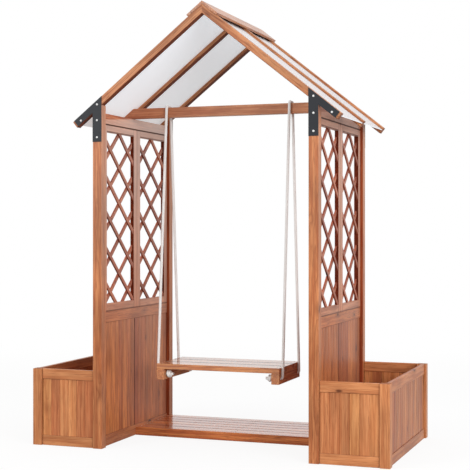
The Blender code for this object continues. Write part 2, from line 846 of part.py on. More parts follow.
def make_roof():
    for label, side in SIDES.items():
        make_rafter(f"front_{label}_rafter", side, -RAFTER_Y, (1,))
        make_rafter(f"middle_{label}_rafter", side, 0, (-1, 1))
        make_rafter(f"back_{label}_rafter", side, RAFTER_Y, (-1,))
        make_ridge_board(f"{label}_ridge_board", side)
        for end_label, end in ENDS.items():
            make_sheet(f"{end_label}_{label}_sheet", side, end)


def make_swing():
    make_seat_slats()
    for label, side in SIDES.items():
        make_bearer(f"{label}_bearer", side)
        make_saddle(f"{label}_rope_saddle", side)
        for end_label, end in ENDS.items():
            make_fall(f"{label}_rope_{end_label}_fall", side, end)


clear_scene()
parts = new_collection("garden_swing_bench")
helpers = new_collection("helpers")
post_wood = new_material("post_wood", (0.50, 0.21, 0.11), 0.45)
frame_wood = new_material("frame_wood", (0.46, 0.20, 0.12), 0.40)
board_wood = new_material("board_wood", (0.48, 0.21, 0.11), 0.45)
lath_wood = new_material("lath_wood", (0.40, 0.16, 0.09), 0.45)
rafter_wood = new_material("rafter_wood", (0.44, 0.17, 0.08), 0.40)
deck_wood = new_material("deck_wood", (0.38, 0.13, 0.06), 0.35)
seat_wood = new_material("seat_wood", (0.42, 0.17, 0.08), 0.35)
opal_sheet = new_material("opal_sheet", (0.85, 0.86, 0.87), 0.40, transmission=0.3)
bracket_steel = new_material("bracket_steel", (0.04, 0.05, 0.06), 0.45, metallic=0.6)
rope_fibre = new_material("rope_fibre", (0.80, 0.77, 0.70), 0.85)
arch = new_holder("arch", (0, 0, 0))
swing = new_holder("swing_axis", SWING_AXIS)
make_arch()
make_roof()
for planter_label, planter_side in SIDES.items():
    make_planter(planter_label, planter_side)
make_deck_fascia()
make_deck_rail()
make_deck_slats()
make_swing()
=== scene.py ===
import math

import bmesh
import bpy
from mathutils import Matrix, Vector


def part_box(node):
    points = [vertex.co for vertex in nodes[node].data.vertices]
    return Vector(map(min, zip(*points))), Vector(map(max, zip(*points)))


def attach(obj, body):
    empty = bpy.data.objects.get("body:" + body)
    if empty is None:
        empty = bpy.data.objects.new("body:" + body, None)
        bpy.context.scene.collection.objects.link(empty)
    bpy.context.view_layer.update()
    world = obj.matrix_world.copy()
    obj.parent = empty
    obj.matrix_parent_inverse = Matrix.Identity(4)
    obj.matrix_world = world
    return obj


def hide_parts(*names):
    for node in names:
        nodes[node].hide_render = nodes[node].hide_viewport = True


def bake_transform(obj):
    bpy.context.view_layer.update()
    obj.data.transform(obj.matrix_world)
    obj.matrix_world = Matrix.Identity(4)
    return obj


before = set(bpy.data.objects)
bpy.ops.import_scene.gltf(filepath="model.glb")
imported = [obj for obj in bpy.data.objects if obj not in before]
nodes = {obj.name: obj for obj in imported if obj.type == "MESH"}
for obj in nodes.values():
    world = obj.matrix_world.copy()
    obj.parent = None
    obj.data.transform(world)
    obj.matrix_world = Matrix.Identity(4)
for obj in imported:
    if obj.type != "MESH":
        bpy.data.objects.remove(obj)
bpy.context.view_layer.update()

sides = {"left": -1, "right": 1}
ends = {"front": -1, "back": 1}
rows = ("front", "middle", "back")
white = (1, 1, 1, 1)


def tone(red, green, blue):
    # A colour as picked in an image editor, 0 to 255, made linear for the shader
    linear = []
    for level in (red, green, blue):
        share = level / 255
        linear.append(share / 12.92 if share <= 0.04045 else ((share + 0.055) / 1.055) ** 2.4)
    return (*linear, 1)


def linkObject(name, data):
    made = bpy.data.objects.new(name, data)
    bpy.context.scene.collection.objects.link(made)
    return made


# The camera that took the photograph

cameraValues = {
    "place": (2.176, -5.971, 1.125),
    "turn": 19.97,  # degrees from straight ahead towards the left
    "lens": 91.55,
    "sensor": 36,
    "shiftY": -0.0129,
}


def addCamera(values):
    data = bpy.data.cameras.new("photoCamera")
    data.lens = values["lens"]
    data.sensor_width = values["sensor"]
    data.shift_y = values["shiftY"]
    camera = linkObject("photoCamera", data)
    camera.location = values["place"]
    camera.rotation_euler = (math.radians(90), 0, math.radians(values["turn"]))
    bpy.context.scene.camera = camera


addCamera(cameraValues)
print("camera placed")

# Two ropes over the tie beam, knotted inside the bearers

ropeValues = {
    "diameter": 0.014,
    "axis": (-0.0145, -0.0403, 1.7498),  # middle of the tie beam, where the swing turns
    "spread": 0.3448,  # from the middle of the seat to each rope
    "wrapOut": 0.0185,  # centre of the bend over the beam's top edge
    "wrapUp": 0.0255,
    "wrapRadius": 0.0088,
    "holeOut": 0.1435,  # the holes in the bearers, from the axis
    "holeDown": 1.3856,
    "holeBend": 0.011,
    "innerFace": 0.2955,  # inner side of a bearer, from the middle of the seat
    "endPast": 0.002,  # how far the rope reaches into its knot
    "bendSteps": 8,
    "sides": 32,
    "step": 0.002,
    "carriers": 8,  # strands of the braid that run each way round
    "lead": 0.058,  # length in which a strand goes once round
    "relief": 0.00045,
    "bendFrom": 0.03,  # below the axis, where the rope starts to follow the seat
    "bendTo": 0.18,
}
sealValues = {"narrow": 0.86, "rise": 0.12, "face": 0.25, "hollow": 0.04}
knotValues = {
    "turns": 1.85,
    "radius": 0.0122,
    "near": 0.0085,  # first and last turn, from the bearer's inner side
    "far": 0.0265,
    "tail": 0.0395,
    "buried": 0.001,
    "tuck": 0.16,  # part of the route in which an end leaves the middle
    "slant": 0.0035,
    "slantTurn": 0.8,
    "steps": 90,
}


def arcPoints(centre, first, second, start, stop, radius, count):
    # Points on an arc from the first direction towards the second
    points = []
    for step in range(count + 1):
        angle = start + (stop - start) * step / count
        points.append(centre + radius * (first * math.cos(angle) + second * math.sin(angle)))
    return points


def halfRoute(side, end, values):
    # From inside the bearer, round its hole, up to the beam and over to its middle
    axis = Vector(values["axis"])
    out, up, radius = values["wrapOut"], values["wrapUp"], values["wrapRadius"]
    run = values["holeOut"] - out
    drop = up + values["holeDown"]
    lift = math.acos(radius / math.hypot(run, drop)) - math.atan2(drop, run)
    plane = Vector((side * values["spread"], 0, 0))
    outward = Vector((0, end, 0))
    wrapCentre = axis + plane + outward * out + Vector((0, 0, up))
    steps, quarter = values["bendSteps"], math.pi / 2
    wrap = arcPoints(wrapCentre, outward, Vector((0, 0, 1)), lift, quarter, radius, steps)
    corner = axis + plane + outward * values["holeOut"] - Vector((0, 0, values["holeDown"]))
    down = (corner - wrap[0]).normalized()
    inward = Vector((-side, 0, 0))
    bend = values["holeBend"]
    hole = arcPoints(corner + (inward - down) * bend, down, -inward, 0, quarter, bend, steps)
    start = corner + inward * (values["spread"] - values["innerFace"] + values["endPast"])
    return [start] + hole + wrap


def evenPoints(points, step):
    # The same line with points at even steps along it
    lengths = [0]
    for a, b in zip(points, points[1:]):
        lengths.append(lengths[-1] + (b - a).length)
    count = max(2, round(lengths[-1] / step))
    even = []
    index = 0
    for k in range(count + 1):
        at = lengths[-1] * k / count
        while index < len(points) - 2 and lengths[index + 1] < at:
            index += 1
        span = lengths[index + 1] - lengths[index]
        even.append(points[index].lerp(points[index + 1], (at - lengths[index]) / span))
    return even, lengths[-1]


def braidedTube(bm, points, values):
    # A round rope with the raised strands of its braid; keeps the relief for the material
    relief = bm.verts.layers.float.get("braid") or bm.verts.layers.float.new("braid")
    count = values["sides"]
    radius = values["diameter"] / 2 - values["relief"] / 2
    befores, afters = points[:1] + points[:-1], points[1:] + points[-1:]
    tangents = [(after - before).normalized() for before, after in zip(befores, afters)]
    normal = tangents[0].orthogonal().normalized()
    rings = []
    along = 0
    for k, (point, tangent) in enumerate(zip(points, tangents)):
        if k:
            normal = tangents[k - 1].rotation_difference(tangent) @ normal
            along += (point - points[k - 1]).length
        across = tangent.cross(normal)
        ring = []
        for j in range(count):
            angle = 2 * math.pi * j / count
            turns = along / values["lead"]
            one = math.cos(values["carriers"] * (angle + 2 * math.pi * turns))
            other = math.cos(values["carriers"] * (angle - 2 * math.pi * turns))
            raised = max(one, other) if one * other < 0 else (one + other) / 2
            raised = 0.5 + 0.5 * max(-1, min(1, raised))
            reach = radius + values["relief"] * raised
            place = point + reach * (normal * math.cos(angle) + across * math.sin(angle))
            vert = bm.verts.new(place)
            vert[relief] = raised
            ring.append(vert)
        rings.append(ring)
    for a, b in zip(rings, rings[1:]):
        for j in range(count):
            bm.faces.new((a[j], a[(j + 1) % count], b[(j + 1) % count], b[j]))
    for ring, tangent in ((rings[0], -tangents[0]), (rings[-1], tangents[-1])):
        closeRopeEnd(bm, ring, tangent, radius)


def closeRopeEnd(bm, ring, outward, radius):
    # A heat-sealed end: the rim rolls over and the face is slightly hollow
    rim = bmesh.ops.extrude_edge_only(bm, edges=ringEdges(ring))["geom"]
    verts = [item for item in rim if isinstance(item, bmesh.types.BMVert)]
    middle = sum((vert.co for vert in verts), Vector()) / len(verts)
    seal = sealValues
    for vert in verts:
        vert.co = middle + (vert.co - middle) * seal["narrow"] + outward * radius * seal["rise"]
    edges = [item for item in rim if isinstance(item, bmesh.types.BMEdge)]
    cap = bmesh.ops.contextual_create(bm, geom=edges)["faces"]
    wide, deep = radius * seal["face"], -radius * seal["hollow"]
    bmesh.ops.inset_region(bm, faces=cap, thickness=wide, depth=deep)


def ringEdges(ring):
    members = set(ring)
    around = (edge for vert in ring for edge in vert.link_edges)
    return list({edge for edge in around if members.issuperset(edge.verts)})


def finishMesh(name, bm, material, smooth=True):
    bmesh.ops.recalc_face_normals(bm, faces=bm.faces)
    mesh = bpy.data.meshes.new(name)
    bm.to_mesh(mesh)
    bm.free()
    mesh.polygons.foreach_set("use_smooth", [smooth] * len(mesh.polygons))
    made = linkObject(name, mesh)
    mesh.materials.append(material)
    return made


def knotRoute(side, end, values, knot):
    # The stopper knot's turns, wound tight round the rope's end
    axis = Vector(values["axis"])
    face = axis + Vector((side * values["innerFace"], end * values["holeOut"], -values["holeDown"]))
    inward = Vector((-side, 0, 0))
    points = []
    for step in range(knot["steps"] + 1):
        share = step / knot["steps"]
        lead = min(1, share / knot["tuck"], (1 - share) / knot["tuck"])
        reach = knot["radius"] * math.sin(lead * math.pi / 2)
        angle = end * 2 * math.pi * knot["turns"] * share
        ahead = knot["far"] + (knot["near"] - knot["far"]) * share
        ahead += knot["slant"] * math.sin(angle + knot["slantTurn"])
        around = Vector((0, reach * math.sin(angle), -reach * math.cos(angle)))
        points.append(face + inward * ahead + around)
    core = [face - inward * knot["buried"], face + inward * knot["tail"]]
    return points, core


def addRope(label, side, material):
    values = ropeValues
    front, back = (halfRoute(side, end, values) for end in ends.values())
    route, length = evenPoints(front + back[::-1], values["step"])
    bm = bmesh.new()
    braidedTube(bm, route, values)
    rope = finishMesh(label + "Rope", bm, material)
    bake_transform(rope)
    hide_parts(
        label + "_rope_saddle", label + "_rope_front_fall", label + "_rope_back_fall"
    )
    for endLabel, end in ends.items():
        turns, core = knotRoute(side, end, values, knotValues)
        bm = bmesh.new()
        for line in (turns, core):
            braidedTube(bm, evenPoints(line, values["step"])[0], values)
        knot = finishMesh(label + endLabel.capitalize() + "Knot", bm, material)
        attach(knot, "swing")


# Shader building blocks


def feed(socket, value):
    # Sets a socket, or links it where the value is another socket
    if isinstance(value, bpy.types.NodeSocket):
        socket.id_data.links.new(value, socket)
    else:
        socket.default_value = value


def addNode(tree, kind, feeds=None, **settings):
    made = tree.nodes.new("ShaderNode" + kind)
    for key, value in settings.items():
        setattr(made, key, value)
    for key, value in (feeds or {}).items():
        feed(made.inputs[key], value)
    return made


def fedNode(kind, feeds, **settings):
    # A node in the same tree as the sockets that feed it
    found = (value for value in feeds.values() if isinstance(value, bpy.types.NodeSocket))
    return addNode(next(found).id_data, kind, feeds, **settings)


def calc(operation, *terms):
    return fedNode("Math", dict(enumerate(terms)), operation=operation).outputs[0]


def times(a, b):
    return calc("MULTIPLY", a, b)


def scaled(value, factor, offset):
    return calc("MULTIPLY_ADD", value, factor, offset)


def inverse(share):
    return calc("SUBTRACT", 1.0, share)


def vectorCalc(operation, *terms):
    made = fedNode("VectorMath", dict(enumerate(terms)), operation=operation)
    return made.outputs["Value" if operation in ("DOT_PRODUCT", "LENGTH") else "Vector"]


def dot(a, b):
    return vectorCalc("DOT_PRODUCT", a, b)


def split(vector):
    return fedNode("SeparateXYZ", {"Vector": vector}).outputs


def joined(**parts):
    return fedNode("CombineXYZ", parts).outputs[0]


def placeOf(tree):
    return addNode(tree, "TexCoord").outputs["Object"]


def fade(value, low, high, start=0.0, stop=1.0):
    # A smooth step from start to stop as the value goes from low to high
    feeds = {"Value": value, "From Min": low, "From Max": high, "To Min": start, "To Max": stop}
    return fedNode("MapRange", feeds, interpolation_type="SMOOTHSTEP").outputs["Result"]


def mixColour(share, a, b, way="MIX"):
    feeds = {0: share, 6: a, 7: b}
    return fedNode("Mix", feeds, data_type="RGBA", blend_type=way).outputs[2]


def multiplied(colour, tint):
    return mixColour(1.0, colour, tint, "MULTIPLY")


def mixValue(share, a, b):
    return fedNode("Mix", {0: share, 2: a, 3: b}, data_type="FLOAT").outputs[0]


def noise(vector, scale, detail=2.0, rough=0.5, output="Fac"):
    # The scale is one number, or one for each axis
    scale = scale if isinstance(scale, tuple) else (scale, scale, scale)
    stretched = vectorCalc("MULTIPLY", vector, scale)
    feeds = {"Vector": stretched, "Scale": 1.0, "Detail": detail, "Roughness": rough}
    return fedNode("TexNoise", feeds).outputs[output]


def chanceOf(seed):
    return fedNode("TexWhiteNoise", {"W": seed}, noise_dimensions="1D").outputs


def newGroup(name, inputs, outputs):
    tree = bpy.data.node_groups.new(name, "ShaderNodeTree")
    for way, sockets in (("INPUT", inputs), ("OUTPUT", outputs)):
        for label, kind in sockets.items():
            tree.interface.new_socket(label, in_out=way, socket_type="NodeSocket" + kind)
    given = tree.nodes.new("NodeGroupInput").outputs
    result = tree.nodes.new("NodeGroupOutput").inputs
    return tree, given, result


def useGroup(group, feeds):
    return fedNode("Group", feeds, node_tree=group).outputs


def newMaterial(name):
    material = bpy.data.materials.new(name)
    material.use_nodes = True
    tree = material.node_tree
    return material, tree, tree.nodes["Principled BSDF"].inputs


def wireShader(shader, colour, rough, height, strength, depth):
    feed(shader["Base Color"], colour)
    feed(shader["Roughness"], rough)
    bump = fedNode("Bump", {"Height": height, "Strength": strength, "Distance": depth})
    feed(shader["Normal"], bump.outputs[0])


grainValues = {
    "spread": (31.0, 17.0, 23.0),  # how far apart two seeds lie in the noise
    "lean": 0.12,  # room beside the piece in which the heart of its tree lies
    "wander": {"scale": (1.7, 5.0, 5.0)},
    "wanderReach": 0.05,
    "taper": 0.1,
    "knotCells": (5.0, 12.0, 12.0),
    "knotCore": (0.13, 0.06),
    "knotHalo": (0.36, 0.08),
    "knotSwell": 0.011,  # how far the rings part round a knot
    "knotTone": (0.38, 0.34, 0.34, 1),
    "coreShare": 0.9,
    "haloShare": 0.35,
    "waver": {"scale": (9.0, 60.0, 60.0)},
    "waverReach": 0.55,
    "lateWood": 2.2,  # a higher power leaves a narrower dark line in each ring
    "yearEnd": (1.0, 0.9),
    "streak": {"scale": (3.5, 76.0, 76.0), "detail": 3.0, "rough": 0.6},
    "streakEdge": (0.38, 0.62),
    "fleck": {"scale": (14.0, 150.0, 150.0), "rough": 0.6},
    "fleckEdge": (0.54, 0.74),
    "fibre": {"scale": (11.0, 620.0, 620.0), "rough": 0.6},
    "drift": {"scale": (2.4, 9.0, 9.0), "detail": 3.0, "rough": 0.6},
    "driftEdge": (0.34, 0.66),
    "uneven": (0.34, 0.83),
    "endGrain": (0.8, 0.95),
    "sawnTone": (0.66, 0.6, 0.58, 1),
    "fibreRough": (0.22, 0.34),
    "lateRough": -0.06,
    "sawnRough": 0.2,
    "lateHeight": 0.45,
    "fibreHeight": 0.5,
    "knotHeight": -0.5,
}
wearValues = {
    "edge": (0.995, 0.9),
    "patches": {"scale": 26.0, "detail": 3.0, "rough": 0.65},
    "patchEdge": (0.38, 0.62, 0.25, 1.0),
}
rowValues = {
    "seedStep": 1.618,
    "jointSeed": 0.37,
    "joint": (0.0022, 0.0006),  # from the middle of a joint to its edge
}


def sway(source, reach):
    # A random shift across the grain, as much to one side as to the other
    across, back = (0, reach, reach), (0, -reach / 2, -reach / 2)
    return vectorCalc("MULTIPLY_ADD", source, across, back)


def buildWoodGrain(values):
    # Stained softwood. The grain runs along X of the vector, in metres
    inputs = {"Vector": "Vector", "Seed": "Float", "Grain Axis": "Vector"}
    inputs.update({label: "Color" for label in ("Pale", "Warm", "Dark")})
    plain = ("Ring Width", "Ring Depth", "Knots", "Flecks", "Sawn")
    inputs.update({label: "Float" for label in plain})
    outputs = {"Color": "Color", "Roughness": "Float", "Height": "Float"}
    tree, given, result = newGroup("woodGrain", inputs, outputs)
    chance = chanceOf(given["Seed"])["Color"]
    moved = vectorCalc("MULTIPLY_ADD", chance, values["spread"], given["Vector"])
    # Growth rings round an axis that lies beside the piece and leans to it
    heart = vectorCalc("ADD", given["Vector"], sway(chance, values["lean"]))
    wander = noise(moved, **values["wander"], output="Color")
    heart = vectorCalc("ADD", heart, sway(wander, values["wanderReach"]))
    along = split(given["Vector"])["X"]
    slope = scaled(split(chance)["Z"], values["taper"], -values["taper"] / 2)
    tilt = joined(Y=times(along, slope))
    heart = vectorCalc("MULTIPLY_ADD", heart, (0, 1, 1), tilt)
    # Knots: few, long along the grain, and the rings part round them
    cells = vectorCalc("MULTIPLY", moved, values["knotCells"])
    knot = fedNode("TexVoronoi", {"Vector": cells, "Scale": 1.0}).outputs
    picked = fedNode("SeparateColor", {"Color": knot["Color"]}).outputs["Red"]
    picked = calc("LESS_THAN", picked, given["Knots"])
    core = times(fade(knot["Distance"], *values["knotCore"]), picked)
    halo = times(fade(knot["Distance"], *values["knotHalo"]), picked)
    radius = scaled(halo, values["knotSwell"], vectorCalc("LENGTH", heart))
    phase = calc("DIVIDE", radius, given["Ring Width"])
    phase = scaled(noise(moved, **values["waver"]), values["waverReach"], phase)
    year = calc("FRACT", phase)
    late = calc("POWER", year, values["lateWood"])
    late = times(late, fade(year, *values["yearEnd"]))
    # Streaks, fibres and slow drifts of tone
    dark = given["Dark"]
    streak = fade(noise(moved, **values["streak"]), *values["streakEdge"])
    fleck = fade(noise(moved, **values["fleck"]), *values["fleckEdge"])
    drift = fade(noise(moved, **values["drift"]), *values["driftEdge"])
    fibre = noise(moved, **values["fibre"])
    colour = mixColour(streak, given["Pale"], given["Warm"])
    colour = mixColour(times(late, given["Ring Depth"]), colour, dark)
    colour = mixColour(times(fleck, given["Flecks"]), colour, dark)
    drift, thread = (scaled(source, *values["uneven"]) for source in (drift, fibre))
    level = times(drift, thread)
    colour = multiplied(colour, joined(X=level, Y=level, Z=level))
    colour = mixColour(times(halo, values["haloShare"]), colour, dark)
    darkest = multiplied(dark, values["knotTone"])
    colour = mixColour(times(core, values["coreShare"]), colour, darkest)
    # Sawn ends drink more stain
    facing = dot(addNode(tree, "TexCoord").outputs["Normal"], given["Grain Axis"])
    facing = calc("ABSOLUTE", facing)
    sawn = times(fade(facing, *values["endGrain"]), given["Sawn"])
    colour = mixColour(sawn, colour, multiplied(colour, values["sawnTone"]))
    rough = scaled(fibre, *values["fibreRough"])
    rough = scaled(late, values["lateRough"], rough)
    rough = scaled(sawn, values["sawnRough"], rough)
    height = times(fibre, values["fibreHeight"])
    height = scaled(late, values["lateHeight"], height)
    height = scaled(core, values["knotHeight"], height)
    for label, value in (("Color", colour), ("Roughness", rough), ("Height", height)):
        feed(result[label], value)
    return tree


def buildEdgeWear(values):
    # Where handling has thinned the finish: a narrow band on each outer edge
    inputs = {"Vector": "Vector", "Width": "Float", "Amount": "Float"}
    tree, given, result = newGroup("edgeWear", inputs, {"Mask": "Float"})
    rounded = fedNode("Bevel", {"Radius": given["Width"]}, samples=4).outputs[0]
    flat = addNode(tree, "NewGeometry").outputs["Normal"]
    edge = fade(dot(rounded, flat), *values["edge"])
    broken = noise(given["Vector"], **values["patches"])
    edge = times(edge, fade(broken, *values["patchEdge"]))
    feed(result["Mask"], times(edge, given["Amount"]))
    return tree


def buildBoardRow(values):
    # Splits a row of boards: each gets its own seed and its own middle, across Y
    inputs = {"Vector": "Vector", "Start": "Float", "Pitch": "Float", "Seed": "Float"}
    outputs = {"Vector": "Vector"}
    outputs.update({label: "Float" for label in ("Seed", "Joint", "Tint", "Near")})
    tree, given, result = newGroup("boardRow", inputs, outputs)
    across = calc("SUBTRACT", split(given["Vector"])["Y"], given["Start"])
    steps = calc("DIVIDE", across, given["Pitch"])
    index = calc("FLOOR", steps)
    middle = scaled(calc("ADD", index, 0.5), given["Pitch"], given["Start"])
    seed = scaled(index, values["seedStep"], given["Seed"])
    part = calc("SUBTRACT", steps, index)
    near = calc("MINIMUM", part, inverse(part))
    near = times(near, given["Pitch"])
    uneven = chanceOf(calc("ADD", seed, values["jointSeed"]))["Value"]
    made = {
        "Vector": vectorCalc("SUBTRACT", given["Vector"], joined(Y=middle)),
        "Seed": seed,
        "Joint": times(fade(near, *values["joint"]), uneven),
        "Tint": chanceOf(seed)["Value"],
        "Near": near,
    }
    for label, value in made.items():
        feed(result[label], value)
    return tree


woodGrain = buildWoodGrain(grainValues)
edgeWear = buildEdgeWear(wearValues)
boardRow = buildBoardRow(rowValues)

fibreValues = {
    "deep": (196, 191, 186),  # painted shade between the strands
    "strand": (242, 239, 236),
    "soil": (222, 214, 206),
    "strandEdge": (0.0, 0.55),
    "soilEdge": (0.5, 0.85, 0.0, 0.3),
    "fluff": {"scale": 900.0, "rough": 0.6},
    "fluffTone": (0.9, 0.9, 0.9, 1),  # where it is darkest
    "soiling": {"scale": 9.0, "detail": 3.0},
    "rough": (0.15, 0.72),
    "sheen": 0.15,
    "raised": 0.6,
    "fluffHeight": 0.4,
    "bump": (0.5, 0.0004),
}


def buildRopeFibre(values):
    # Braided cord: soft off-white, with painted shade down between its strands
    material, tree, shader = newMaterial("braidedRope")
    raised = addNode(tree, "Attribute", attribute_name="braid").outputs["Fac"]
    where = placeOf(tree)
    fluff = noise(where, **values["fluff"])
    soil = fade(noise(where, **values["soiling"]), *values["soilEdge"])
    deep, strand = tone(*values["deep"]), tone(*values["strand"])
    # Painted shade between the raised strands
    colour = mixColour(fade(raised, *values["strandEdge"]), deep, strand)
    colour = mixColour(soil, colour, tone(*values["soil"]))
    level = mixColour(fluff, values["fluffTone"], white)
    colour = multiplied(colour, level)
    shader["Sheen Weight"].default_value = values["sheen"]
    height = times(fluff, values["fluffHeight"])
    height = scaled(raised, values["raised"], height)
    rough = scaled(fluff, *values["rough"])
    wireShader(shader, colour, rough, height, *values["bump"])
    return material


ropeFibre = buildRopeFibre(fibreValues)
for sideLabel, sideSign in sides.items():
    addRope(sideLabel, sideSign, ropeFibre)
print("ropes laid over the beam")

# Timber, stained and varnished

plainStain = {
    "ringWidth": 0.009,
    "ringDepth": 0.5,
    "knots": 0.35,
    "flecks": 0.5,
    "sawn": 1,  # sawn ends are darker
    "coat": 0.0,
    "gloss": 0.22,
    # shares of painted sheen: how much paler the upper and the back timber is drawn
    "bleach": 0.0,
    "bleachBack": 0.0,
}


def stainOf(pale, warm, dark, **changes):
    # Three tones of the wood, and what differs from the plain stain
    return {**plainStain, "pale": pale, "warm": warm, "dark": dark, **changes}


boxLook = {"ringWidth": 0.008, "ringDepth": 0.35, "flecks": 0.4, "gloss": 0.2}
roofTones = ((200, 138, 96), (170, 106, 70), (112, 58, 34))
# Each stain may give a tint of painted shade for faces that look along given directions, and shares
# of painted sheen
stains = {
    "post": stainOf(
        (198, 128, 82), (170, 98, 58), (116, 58, 32),
        ringDepth=0.45, knots=0.45, soaked=(0.62, 0.35, 0.27, 1), bleach=0.13,
    ),
    "box": stainOf((208, 140, 92), (186, 116, 72), (138, 76, 46), **boxLook),
    "boxSide": stainOf((190, 124, 82), (166, 98, 62), (138, 76, 46), **boxLook),
    "wall": stainOf(
        (192, 116, 69), (166, 92, 52), (98, 44, 26),
        ringWidth=0.008, ringDepth=0.35, knots=0.75, flecks=0.55,
        gloss=0.1, bleach=0.29, bleachBack=0.08,
    ),
    "frame": stainOf(
        (206, 138, 102), (178, 110, 78), (108, 54, 36),
        ringWidth=0.007, ringDepth=0.4, knots=0.12, flecks=0.4,
        soaked=(0.34, 0.14, 0.09, 1), gloss=0.1, bleach=0.28, bleachBack=0.09,
    ),
    "plate": stainOf(
        (212, 148, 112), (186, 116, 82), (128, 68, 46),
        ringWidth=0.007, ringDepth=0.4, knots=0.05, flecks=0.4,
        coat=0.1, gloss=0.5, bleach=0.18, bleachBack=0.2,
    ),
    "lattice": stainOf(
        (184, 108, 78), (152, 82, 58), (96, 42, 30),
        ringWidth=0.007, knots=0.3, soaked=(0.5, 0.2, 0.14, 1), gloss=0.15, bleach=0.09,
    ),
    "roof": stainOf(*roofTones, ringDepth=0.6, flecks=0.7, sawn=0, coat=0.35, gloss=0.26),
    "rafter": stainOf(*roofTones, ringDepth=0.6, flecks=0.7, soaked=(0.34, 0.19, 0.12, 1)),
    "beam": stainOf(
        (194, 128, 90), (168, 100, 67), (126, 64, 40),
        ringDepth=0.4, knots=0.5, sawn=0, gloss=0.3,
    ),
    "deck": stainOf(
        (228, 134, 72), (190, 98, 50), (116, 54, 30),
        knots=0.45, soaked=(0.88, 0.95, 1.1, 1), coat=1.0, gloss=0.3,
    ),
    "seat": stainOf(
        (203, 135, 81), (177, 103, 57), (114, 56, 32),
        knots=0.08, sawn=0, soaked=(1.05, 1.15, 1.6, 1), coat=1.0,
    ),
}
woodFinish = {
    "coatRoughness": 0.14,
    "bump": (0.35, 0.0006),
    "wornWidth": 0.0018,
    "worn": 0.14,
    "wornTone": (216, 162, 124),
    # dark of the joints, and of painted shade
    "jointAndShadeTone": (62, 28, 18),
    "jointHeight": -1.5,
    "bleachTone": (240, 221, 210),  # painted sheen, which makes the upper timber paler
    "bleachHeight": (0.3, 1.7),
    "bleachDepth": (-0.42, 0.35),
    "bleachSide": (-0.3, 0.5, 1.0, 0.6),
    "bleachFaces": 0.4,  # share on faces that don't look sideways; 1 is added where they do
    "soakedFrom": (0.5, 0.75),  # how squarely a face looks along a direction that gets painted shade
    "soakedRough": 0.3,
    "gapEdge": 0.0085,  # shade and dirt along a gap between slats
    "gapFade": 0.3,
    "flank": 0.7,
    "golden": (1.2, 1.26, 1.18, 1),
    "goldenFrom": (0.62, 0.95),
    "red": (0.84, 0.72, 0.72, 1),
    "redFrom": (0.42, 0.05),
}
axisX, axisY, axisZ = Vector((1, 0, 0)), Vector((0, 1, 0)), Vector((0, 0, 1))


def middleOf(node):
    low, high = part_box(node)
    return (low + high) / 2, (high - low) / 2


def dress(node, material):
    nodes[node].data.materials.clear()
    nodes[node].data.materials.append(material)


def newWood(node):
    # A material of the node's own, and the node's middle and half its size
    material, tree, shader = newMaterial(node + "Wood")
    dress(node, material)
    return tree, shader, *middleOf(node)


def localVector(tree, centre, grain, across):
    # Lays local X along the grain and local Y across the face
    turn = Matrix((grain, across, grain.cross(across))).transposed().to_euler()
    feeds = {"Vector": placeOf(tree), "Location": centre, "Rotation": turn}
    return addNode(tree, "Mapping", feeds, vector_type="TEXTURE").outputs[0]


def grainOf(stain, vector, seed, grain):
    values = stains[stain]
    feeds = {
        "Vector": vector,
        "Seed": seed,
        "Grain Axis": grain,
        "Pale": tone(*values["pale"]),
        "Warm": tone(*values["warm"]),
        "Dark": tone(*values["dark"]),
        "Ring Width": values["ringWidth"],
        "Ring Depth": values["ringDepth"],
        "Knots": values["knots"],
        "Flecks": values["flecks"],
        "Sawn": values["sawn"],
    }
    made = useGroup(woodGrain, feeds)
    # Kept marks what the weather has not bleached
    # This mask marks where no painted sheen is laid
    return {"Unsheened": 0.0, **{key: made[key] for key in ("Color", "Roughness", "Height")}}


def eitherWood(share, a, b):
    # Two runs of wood in one node, split by a mask
    plain = ("Unsheened", "Roughness", "Height")
    wood = {key: mixValue(share, a[key], b[key]) for key in plain}
    return {**wood, "Color": mixColour(share, a["Color"], b["Color"])}


# Darkens a joint; the same darkening lays painted shade along rail edges, frame edges and slat gaps
def darkJointAndShade(wood, joint):
    return {
        **wood,
        "Unsheened": calc("MAXIMUM", wood["Unsheened"], joint),
        "Color": mixColour(joint, wood["Color"], tone(*woodFinish["jointAndShadeTone"])),
        "Height": scaled(joint, woodFinish["jointHeight"], wood["Height"]),
    }


def tinted(wood, tint):
    # Each board takes the stain its own way, some golden and some red
    finish = woodFinish
    share = fade(tint, *finish["goldenFrom"])
    colour = mixColour(share, white, finish["golden"])
    colour = mixColour(fade(tint, *finish["redFrom"]), colour, finish["red"])
    return {**wood, "Color": multiplied(wood["Color"], colour)}


